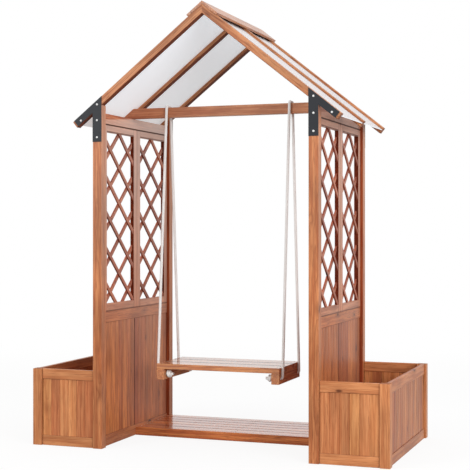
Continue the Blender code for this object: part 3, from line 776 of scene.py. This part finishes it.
def finishWood(tree, shader, wood, stain, soaked=()):
    # Faces that look along one of the given directions get a painted shade tint, no painted sheen,
    # no coat and a higher roughness
    finish, values = woodFinish, stains[stain]
    where = addNode(tree, "TexCoord").outputs
    feeds = {"Vector": where["Object"], "Width": finish["wornWidth"], "Amount": finish["worn"]}
    worn = useGroup(edgeWear, feeds)["Mask"]
    place = split(where["Object"])
    # Painted sheen: paler higher up, towards the back and on faces that look sideways, but not
    # where the mask says none
    high = fade(place["Z"], *finish["bleachHeight"], 0.0, values["bleach"])
    deep = fade(place["Y"], *finish["bleachDepth"], 0.0, values["bleachBack"])
    aside = calc("ABSOLUTE", dot(where["Normal"], axisX))
    share = calc("ADD", high, deep)
    share = times(share, fade(place["X"], *finish["bleachSide"]))
    share = times(share, calc("ADD", aside, finish["bleachFaces"]))
    stained = {0: 1.0, 1: wood["Unsheened"]}
    share = times(share, addNode(tree, "Math", stained, operation="SUBTRACT").outputs[0])
    colour, rough, coat = wood["Color"], wood["Roughness"], values["coat"]
    if soaked:
        mask = 0.0
        for direction in soaked:
            facing = dot(where["Normal"], direction)
            mask = calc("MAXIMUM", mask, fade(facing, *finish["soakedFrom"]))
        colour = mixColour(mask, colour, multiplied(colour, values["soaked"]))
        share = times(share, inverse(mask))
        rough = scaled(mask, finish["soakedRough"], rough)
        coat = fade(mask, 0.0, 1.0, coat, 0.0)
    feed(shader["Coat Weight"], coat)
    colour = mixColour(share, colour, tone(*finish["bleachTone"]))
    colour = mixColour(worn, colour, tone(*finish["wornTone"]))
    shader["Coat Roughness"].default_value = finish["coatRoughness"]
    shader["Specular IOR Level"].default_value = values["gloss"]
    wireShader(shader, colour, rough, wood["Height"], *finish["bump"])


def stainTimber(node, stain, grain, across, seed, soaked=(), gaps=(), drift=None):
    # The gaps are the directions in which the next slat lies; the drift is a tint at each end
    tree, shader, centre, half = newWood(node)
    vector = localVector(tree, centre, grain, across)
    wood = grainOf(stain, vector, seed, grain)
    found = addNode(tree, "TexCoord").outputs
    where = found["Object"]
    if drift:
        middle, reach = centre.dot(grain), abs(half.dot(grain))
        share = fade(dot(where, grain), middle - reach, middle + reach)
        wood["Color"] = multiplied(wood["Color"], mixColour(share, *drift))
    edge = woodFinish["gapEdge"]
    for direction in gaps:
        facing = calc("ABSOLUTE", dot(found["Normal"], grain))
        flank = calc("LESS_THAN", facing, woodFinish["flank"])
        inside = centre.dot(direction) + abs(half.dot(direction)) - edge
        past = calc("SUBTRACT", dot(where, direction), inside)
        shade = times(fade(past, 0.0, edge * woodFinish["gapFade"]), flank)
        wood = darkJointAndShade(wood, shade)
    finishWood(tree, shader, wood, stain, soaked)


slatValues = {"deck": 6, "floor": 11, "gap": 0.006, "shade": (0.0014, 0.0005)}
panelValues = {
    "wall": {"boards": 17, "rails": (0.057, 0.055), "seam": -0.0244},
    "boxSide": {"boards": 17, "rails": (0.052, 0.052)},
    "box": {"boards": 6, "rails": (0.052, 0.052)},
    "joint": 0.3,  # how dark the joints between the boards are
    "railSeed": 40.3,
    "railSeedStep": 7.7,
    "seamLine": (0.007, 0.004),
    "seamShade": 0.75,
    "besideFrom": (-0.001, 0),
    "besideTo": (0.04, 0.01),
    "maroon": (0.92, 0.8, 0.78, 1),
    "railEdge": (0.003, 0.001),
    "railShade": 0.5,
    "sideEdge": (0.006, 0.003),
    "shade": 0.42,
}
plateValues = {
    "run": 0.36,  # how far back the shade reaches
    "deep": 0.65,  # and how far down at the front, as a share of the height
    "edge": (0.08, -0.08),
    # colour of the painted shade
    "tone": (0.86, 0.66, 0.52, 1),
}
frameValues = {
    "member": 0.042,
    "uprightSeedStep": 3.9,
    "railSeed": 20.1,
    "railSeedStep": 5.3,
    "joint": (0.0009, 0.0003),
    "rim": (0.0085, 0.006),  # shade at the top and the foot of the frame
    "rimShade": (0.35, 0.6),
    "inner": (0.0085, 0.005),
    "innerShade": 0.75,
}
latticeValues = {
    "angle": math.radians(41),
    "pitch": 0.1855,
    "drop": 0.0037,
    "seedStep": 30,
    "risingPaintedLight": (1.4, 1.75, 2.05, 1),  # painted light, which makes the layer of laths farther from the camera paler
}
beamDrift = ((0.84, 0.78, 0.78, 1), (1.16, 1.34, 1.38, 1))
seatGaps = {"front": [axisY], "middle": [axisY, -axisY], "back": [-axisY]}
roofPitch = math.radians(38.42)


def boardsOf(stain, vector, start, pitch, seed, grain):
    # A row of boards, each with its own wood and tint
    feeds = {"Vector": vector, "Start": start, "Pitch": pitch, "Seed": seed}
    row = useGroup(boardRow, feeds)
    wood = grainOf(stain, row["Vector"], row["Seed"], grain)
    return tinted(wood, row["Tint"]), row


def stainSlats(node, stain, count, seed):
    # Loose slats along X on battens
    tree, shader, centre, half = newWood(node)
    vector = localVector(tree, centre, axisX, axisY)
    gap = slatValues["gap"]
    start, pitch = -half.y - gap / 2, (2 * half.y + gap) / count
    boards, row = boardsOf(stain, vector, start, pitch, seed, axisX)
    # Painted shade along the gaps between the slats
    outside, inside = (gap / 2 + edge for edge in slatValues["shade"])
    joint = fade(row["Near"], outside, inside)
    finishWood(tree, shader, darkJointAndShade(boards, joint), stain)


def stainPanel(node, stain, across, seed):
    # Upright boards between two rails
    values, own = panelValues, panelValues[stain]
    tree, shader, centre, half = newWood(node)
    reach = abs(half.dot(across))
    upright = localVector(tree, centre, axisZ, across)
    pitch = 2 * reach / own["boards"]
    boards, row = boardsOf(stain, upright, -reach, pitch, seed, axisZ)
    boards = darkJointAndShade(boards, times(row["Joint"], values["joint"]))
    level = localVector(tree, centre, across, axisZ)
    place = split(level)
    height = place["Y"]
    upper = calc("GREATER_THAN", height, 0.0)
    railSeed = scaled(upper, values["railSeedStep"], seed + values["railSeed"])
    railWood = grainOf(stain, level, railSeed, across)
    if "seam" in own:
        # The wall comes in two halves, which meet beside a darker board
        past = calc("SUBTRACT", place["X"], own["seam"])
        line = fade(calc("ABSOLUTE", past), *values["seamLine"])
        beside = fade(past, *values["besideTo"])
        beside = times(beside, fade(past, *values["besideFrom"]))
        maroon = multiplied(boards["Color"], values["maroon"])
        boards["Color"] = mixColour(beside, boards["Color"], maroon)
        boards = darkJointAndShade(boards, times(line, values["seamShade"]))
    low, high = own["rails"][0] - half.z, half.z - own["rails"][1]
    inLow = calc("LESS_THAN", height, low)
    inHigh = calc("GREATER_THAN", height, high)
    wood = eitherWood(calc("MAXIMUM", inLow, inHigh), boards, railWood)
    # Shade where the boards meet the rails, and at both sides
    edges = [calc("ABSOLUTE", calc("SUBTRACT", height, at)) for at in (high, low)]
    shade = fade(calc("MINIMUM", *edges), *values["railEdge"])
    shade = times(shade, values["railShade"])
    outside, inside = (reach - edge for edge in values["sideEdge"])
    side = fade(calc("ABSOLUTE", place["X"]), outside, inside)
    shade = times(calc("MAXIMUM", shade, side), values["shade"])
    finishWood(tree, shader, darkJointAndShade(wood, shade), stain)


def stainPlate(node, stain, seed):
    # Painted shade of the roof on the plate's upper front part, which gets no painted sheen
    values = plateValues
    tree, shader, centre, half = newWood(node)
    vector = localVector(tree, centre, axisY, axisZ)
    wood = grainOf(stain, vector, seed, axisY)
    place = split(vector)
    down = calc("DIVIDE", calc("SUBTRACT", half.z, place["Y"]), 2 * half.z)
    back = calc("DIVIDE", calc("ADD", place["X"], half.y), values["run"])
    reach = scaled(back, -values["deep"], values["deep"])
    shade = fade(calc("SUBTRACT", down, reach), *values["edge"])
    dark = multiplied(wood["Color"], values["tone"])
    wood = {**wood, "Color": mixColour(shade, wood["Color"], dark), "Unsheened": shade}
    finishWood(tree, shader, wood, stain)


def stainFrame(node, stain, seed):
    # Two uprights with a rail between them at the top and the bottom
    values = frameValues
    tree, shader, centre, half = newWood(node)
    upright = localVector(tree, centre, axisZ, axisY)
    level = localVector(tree, centre, axisY, axisZ)
    place = split(level)
    out, lift = (calc("ABSOLUTE", place[axis]) for axis in "XY")
    farSide, upper = (calc("GREATER_THAN", place[axis], 0.0) for axis in "XY")
    seam, sill = half.y - values["member"], half.z - values["member"]
    inUpright = calc("GREATER_THAN", out, seam)
    atRail = calc("GREATER_THAN", lift, sill)
    uprightSeed = scaled(farSide, values["uprightSeedStep"], seed)
    railSeed = scaled(upper, values["railSeedStep"], seed + values["railSeed"])
    uprightWood = grainOf(stain, upright, uprightSeed, axisZ)
    railWood = grainOf(stain, level, railSeed, axisY)
    wood = eitherWood(inUpright, railWood, uprightWood)
    away = calc("ABSOLUTE", calc("SUBTRACT", out, seam))
    joint = times(fade(away, *values["joint"]), atRail)
    # Shaded joints under the plate and over the wall, and the lower edge of the top rail
    outside, inside = (half.z - edge for edge in values["rim"])
    rim = fade(lift, outside, inside)
    rim = times(rim, scaled(upper, *values["rimShade"]))
    inner = calc("SUBTRACT", place["Y"], sill)
    inner = times(fade(inner, *values["inner"]), atRail)
    inner = times(inner, times(upper, values["innerShade"]))
    inner = times(inner, inverse(inUpright))
    joint = calc("MAXIMUM", joint, calc("MAXIMUM", rim, inner))
    # Painted shade on the faces that look forward
    finishWood(tree, shader, darkJointAndShade(wood, joint), stain, [-axisY])


def stainLattice(node, stain, seed):
    # Two layers of laths that cross, one falling and one rising towards the back
    values = latticeValues
    tree, shader, centre, half = newWood(node)
    rise, run = math.sin(values["angle"]), math.cos(values["angle"])
    pitch = values["pitch"] * run
    start = (half.z - values["drop"]) * run - pitch / 2
    layers = []
    for sign in (-1, 1):
        grain, across = Vector((0, run, sign * rise)), Vector((0, -sign * rise, run))
        vector = localVector(tree, centre, grain, across)
        ownSeed = seed + sign * values["seedStep"]
        layers.append(boardsOf(stain, vector, start, pitch, ownSeed, grain)[0])
    falling, rising = layers
    # Painted light makes the rising layer paler
    rising["Color"] = multiplied(rising["Color"], values["risingPaintedLight"])
    nearer = calc("GREATER_THAN", split(placeOf(tree))["X"], centre.x)
    # Painted shade on the faces that look forward
    finishWood(tree, shader, eitherWood(nearer, rising, falling), stain, [-axisY])


def stainSide(sideLabel, side, seed):
    # The posts, walls and half of the roof on one side; returns the next free seed
    planter = sideLabel + "_planter_"
    for endLabel in ends:
        post = endLabel + "_" + sideLabel + "_post"
        # The back posts' front faces get painted shade
        soaked = [-axisY] if endLabel == "back" else []
        stainTimber(post, "post", axisZ, axisX, seed + 1, soaked)
        grid = sideLabel + "_" + endLabel + "_lattice"
        stainFrame(grid + "_frame", "frame", seed + 2)
        stainLattice(grid, "lattice", seed + 3)
        stainTimber(planter + endLabel + "_post", "box", axisZ, axisX, seed + 4)
        stainPanel(planter + endLabel + "_panel", "box", axisX, seed + 5)
        seed += 11.3
    slope = Vector((side * math.cos(roofPitch), 0, -math.sin(roofPitch)))
    below = Vector((-slope.z, 0, slope.x)) * -side
    for row in rows:
        rafter = row + "_" + sideLabel + "_rafter"
        # Painted shade on the rafters' undersides
        stainTimber(rafter, "rafter", slope, axisY, seed, [below])
        seed += 2.7
    stainTimber(sideLabel + "_ridge_board", "roof", axisY, slope, seed + 1)
    stainPlate(sideLabel + "_top_plate", "plate", seed + 2)
    stainPanel(sideLabel + "_wall_panel", "wall", axisY, seed + 3)
    stainPanel(planter + "side_panel", "boxSide", axisY, seed + 4)
    stainSlats(planter + "floor", "deck", slatValues["floor"], seed + 5)
    # Painted shade on the bearer's faces that look along X
    stainTimber(sideLabel + "_bearer", "seat", axisY, axisZ, seed + 8, [axisX, -axisX])
    return seed + 9.1


timberSeed = 1.0
for sideLabel, sideSign in sides.items():
    timberSeed = stainSide(sideLabel, sideSign, timberSeed)
stainTimber("swing_beam", "beam", axisX, axisZ, 47.0, drift=beamDrift)
# The fascia's front gets a painted shade tint
stainTimber("deck_fascia", "deck", axisX, axisZ, 62.4, [-axisY])
stainTimber("deck_back_rail", "deck", axisX, axisZ, 63.1)
stainSlats("deck_slats", "deck", slatValues["deck"], 70)
for row, gaps in seatGaps.items():
    slatSeed = 80 + len(row)
    # The slat ends get a painted shade tint
    stainTimber("seat_slat_" + row, "seat", axisX, axisY, slatSeed, [axisX, -axisX], gaps)
print("timber stained")

# Roof sheets and steel brackets

sheetValues = {
    "tone": (236, 240, 248),
    "dustTone": (229, 233, 241),
    "topTone": (217, 213, 214),  # on the upper face
    "upward": (0.2, 0.5),
    "dust": {"scale": 5.0, "detail": 4.0, "rough": 0.6},
    "dustEdge": (0.42, 0.8, 0.0, 0.35),
    "rough": (0.12, 0.5),
    "gloss": 0.2,
    "paintedDaylightGlow": 0.35,  # strength of the painted glow on the underside, in place of daylight through the sheet
    "downward": (0.0, -0.4),
    # colour of the painted glow
    "paintedSkyGlow": (242, 250, 250),
    "wave": (3.0, 14.0, 3.0),
    "bump": (0.02, 0.001),
}
steelValues = {
    "paint": (20, 23, 29),
    "faded": (28, 31, 37),
    "worn": (84, 88, 92),
    "wear": {"Width": 0.0012, "Amount": 0.55},
    "peel": 700.0,
    "cloud": {"scale": 30.0, "detail": 3.0},
    "rough": (0.2, 0.42),
    "gloss": 0.35,
    "bump": (0.25, 0.0002),
    "bolt": (222, 222, 220),
    "boltRough": 0.3,
    "face": 0.4680,  # outer face of the plates, from the middle of the arch
}


def buildOpalSheet(values):
    # Opal plastic sheet, a little wavy and dusty; its underside has a painted glow in place of
    # daylight coming through
    material, tree, shader = newMaterial("opalSheet")
    where = addNode(tree, "TexCoord").outputs
    dust = noise(where["Object"], **values["dust"])
    facing = split(where["Normal"])["Z"]
    top = fade(facing, *values["upward"])
    dusty = fade(dust, *values["dustEdge"])
    colour = mixColour(dusty, tone(*values["tone"]), tone(*values["dustTone"]))
    colour = mixColour(top, colour, tone(*values["topTone"]))
    # Painted glow on the faces that look down, in place of daylight through the sheet
    below = fade(facing, *values["downward"])
    glow = mixColour(below, (0, 0, 0, 1), tone(*values["paintedSkyGlow"]))
    feed(shader["Emission Color"], glow)
    shader["Emission Strength"].default_value = values["paintedDaylightGlow"]
    shader["Specular IOR Level"].default_value = values["gloss"]
    wave = noise(where["Object"], values["wave"])
    rough = scaled(dust, *values["rough"])
    wireShader(shader, colour, rough, wave, *values["bump"])
    return material


def buildPaintedSteel(values):
    # Powder-coated plate, and the white caps of its bolts, which stand proud of it
    material, tree, shader = newMaterial("paintedSteel")
    where = placeOf(tree)
    peel = noise(where, values["peel"])
    cloud = noise(where, **values["cloud"])
    depth = calc("ABSOLUTE", split(where)["Y"])
    bolt = calc("GREATER_THAN", depth, values["face"])
    worn = useGroup(edgeWear, {"Vector": where, **values["wear"]})["Mask"]
    colour = mixColour(cloud, tone(*values["paint"]), tone(*values["faded"]))
    colour = mixColour(worn, colour, tone(*values["worn"]))
    colour = mixColour(bolt, colour, tone(*values["bolt"]))
    rough = mixValue(bolt, scaled(peel, *values["rough"]), values["boltRough"])
    shader["Specular IOR Level"].default_value = values["gloss"]
    wireShader(shader, colour, rough, peel, *values["bump"])
    return material


opalSheet = buildOpalSheet(sheetValues)
paintedSteel = buildPaintedSteel(steelValues)
for sideLabel in sides:
    for endLabel in ends:
        dress(endLabel + "_" + sideLabel + "_sheet", opalSheet)
        dress(endLabel + "_" + sideLabel + "_bracket", paintedSteel)
print("sheets and brackets finished")

# Screws through the slats and the ridge boards

screwValues = {
    "head": 0.0036,
    "proud": 0.0005,
    "sunk": 0.0008,
    "sides": 12,
    "rim": 0.0003,
    "recess": 0.0014,
    "recessWall": 0.0001,
    "recessDepth": 0.0006,
    "apart": 0.018,  # from a slat's middle line
    "seatSpread": 1.6,  # times as far apart on the wider slats of the seat
    "batten": 0.02,  # from the end of the slats to the middle of a batten
    "bearer": 0.3165,  # from the middle of the seat to the middle of a bearer
    "ridge": (0.026, 0.07),  # down the slope from the ridge
    "rafters": (-0.445, 0.0, 0.445),
}
zincValues = {
    "tone": (204, 196, 186),
    "dulled": (170, 160, 148),
    "cloud": {"scale": 160.0, "detail": 3.0, "rough": 0.6},
    "cloudEdge": (0.35, 0.65),
    "rough": (0.3, 0.35),
    "metallic": 0.8,
    "bump": (0.2, 0.0002),
}


def topFace(faces, normal):
    return max(faces, key=lambda face: face.calc_center_median().dot(normal))


def addScrewHead(bm, place, normal, values):
    # A pan head with a chamfered rim and a round recess
    turn = normal.to_track_quat("Z", "Y").to_matrix().to_4x4()
    tall = values["proud"] + values["sunk"]
    middle = place + normal * (values["proud"] - tall / 2)
    head = bmesh.ops.create_cone(
        bm,
        cap_ends=True,
        segments=values["sides"],
        radius1=values["head"],
        radius2=values["head"],
        depth=tall,
        matrix=Matrix.Translation(middle) @ turn,
    )["verts"]
    top = topFace({face for vert in head for face in vert.link_faces}, normal)
    rim = bmesh.ops.bevel(
        bm,
        geom=list(top.edges),
        offset=values["rim"],
        affect="EDGES",
        segments=1,
        profile=0.5,
        material=-1,
    )["faces"]
    faces = {face for item in rim for edge in item.edges for face in edge.link_faces}
    top = topFace(faces, normal)
    width = values["head"] - values["rim"] - values["recess"]
    bmesh.ops.inset_region(bm, faces=[top], thickness=width, depth=0)
    wall, deep = values["recessWall"], values["recessDepth"]
    bmesh.ops.inset_region(bm, faces=[top], thickness=wall, depth=-deep)


def addScrews(name, heads, body, material):
    bm = bmesh.new()
    for place, normal in heads:
        addScrewHead(bm, place, normal, screwValues)
    screws = finishMesh(name, bm, material, smooth=False)
    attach(screws, body)


def buildZinc(values):
    # Zinc that has gone dull in the weather
    material, tree, shader = newMaterial("dulledZinc")
    cloud = noise(placeOf(tree), **values["cloud"])
    bright, dulled = tone(*values["tone"]), tone(*values["dulled"])
    colour = mixColour(fade(cloud, *values["cloudEdge"]), bright, dulled)
    shader["Metallic"].default_value = values["metallic"]
    rough = scaled(cloud, *values["rough"])
    wireShader(shader, colour, rough, cloud, *values["bump"])
    return material


def deckHeads(values):
    low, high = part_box("deck_slats")
    count, gap = slatValues["deck"], slatValues["gap"]
    pitch = (high.y - low.y + gap) / count
    battens = (low.x + values["batten"], (low.x + high.x) / 2, high.x - values["batten"])
    heads = []
    for row in range(count):
        line = low.y + (row + 0.5) * pitch - gap / 2
        for x in battens:
            for side in (-1, 1):
                heads.append((Vector((x, line + side * values["apart"], high.z)), axisZ))
    return heads


def seatHeads(values):
    heads = []
    for row in rows:
        centre, half = middleOf("seat_slat_" + row)
        for x in (-values["bearer"], values["bearer"]):
            for side in (-1, 1):
                y = side * values["apart"] * values["seatSpread"]
                heads.append((centre + Vector((x, y, half.z)), axisZ))
    return heads


def ridgeHeads(values):
    heads = []
    for label, side in sides.items():
        slope = Vector((side * math.cos(roofPitch), 0, -math.sin(roofPitch)))
        normal = Vector((side * math.sin(roofPitch), 0, math.cos(roofPitch)))
        corners = [vert.co for vert in nodes[label + "_ridge_board"].data.vertices]
        lift = max(corner.dot(normal) for corner in corners)
        start = min(corner.dot(slope) for corner in corners)
        for y in values["rafters"]:
            for down in values["ridge"]:
                heads.append((slope * (start + down) + normal * lift + axisY * y, normal))
    return heads


zinc = buildZinc(zincValues)
addScrews("deckScrews", deckHeads(screwValues), "frame", zinc)
addScrews("seatScrews", seatHeads(screwValues), "swing", zinc)
addScrews("ridgeScrews", ridgeHeads(screwValues), "frame", zinc)
print("slats and ridge boards screwed down")

# Light and floor

ambient = 0.72
lampAim = Vector((0, 0, 1.0))
lampValues = {
    "key": {"place": (-3.8, -6.2, 3.6), "size": 3.2, "power": 178},
    "fill": {"place": (5.6, -4.4, 2.7), "size": 4.6, "power": 280},
    "top": {"place": (0.4, 0.6, 5.2), "size": 3.0, "power": 30},
}
floorValues = {
    "size": 60,
    "below": 0.0005,  # keeps the floor off the feet
    "tone": (246, 246, 246),
    "bounce": (0.34, 0.34, 0.34, 1),  # how pale it is to the light that it throws back
    "glow": 0.88,  # how much of the floor's white is its own
    "fade": (2.6, 5.5),
}


def addLamp(name, values):
    data = bpy.data.lights.new(name, "AREA")
    data.shape = "DISK"
    data.size = values["size"]
    data.energy = values["power"]
    lamp = linkObject(name, data)
    lamp.location = values["place"]
    lamp.rotation_euler = (lampAim - lamp.location).to_track_quat("-Z", "Y").to_euler()


def eitherShader(share, a, b):
    return fedNode("MixShader", {0: share, 1: a.outputs[0], 2: b.outputs[0]})


def seenDirectly(tree):
    # Camera, mirror and glass rays, which meet the white background
    path = addNode(tree, "LightPath").outputs
    seen = calc("MAXIMUM", path["Is Camera Ray"], path["Is Glossy Ray"])
    return calc("MAXIMUM", seen, path["Is Transmission Ray"])


def addWorld():
    world = bpy.data.worlds.new("studio")
    world.use_nodes = True
    bpy.context.scene.world = world
    tree = world.node_tree
    lit = tree.nodes["Background"]
    lit.inputs["Color"].default_value = white
    lit.inputs["Strength"].default_value = ambient
    shown = addNode(tree, "Background", {"Color": white, "Strength": 1.0})
    mixed = eitherShader(seenDirectly(tree), lit, shown)
    feed(tree.nodes["World Output"].inputs["Surface"], mixed.outputs[0])


def addFloor(values):
    # A pale floor with the object's shadow, which fades into the white background
    bm = bmesh.new()
    bmesh.ops.create_grid(bm, x_segments=2, y_segments=2, size=values["size"] / 2)
    mesh = bpy.data.meshes.new("studioFloor")
    bm.to_mesh(mesh)
    bm.free()
    floor = linkObject("studioFloor", mesh)
    floor.location = (0, 0, -values["below"])
    material = newMaterial("studioFloorPaint")[0]
    mesh.materials.append(material)
    tree = material.node_tree
    tree.nodes.clear()
    away = vectorCalc("LENGTH", placeOf(tree))
    beyond = fade(away, *values["fade"], values["glow"], 1.0)
    painted = addNode(tree, "BsdfDiffuse", {"Color": tone(*values["tone"])})
    dull = addNode(tree, "BsdfDiffuse", {"Color": values["bounce"]})
    glow = addNode(tree, "Emission", {"Color": white, "Strength": 1.0})
    shown = eitherShader(beyond, painted, glow)
    mixed = eitherShader(seenDirectly(tree), dull, shown)
    addNode(tree, "OutputMaterial", {"Surface": mixed.outputs[0]})


bpy.context.scene.view_settings.view_transform = "Standard"
addWorld()
for lampName, lamp in lampValues.items():
    addLamp(lampName, lamp)
addFloor(floorValues)
print("studio lit")
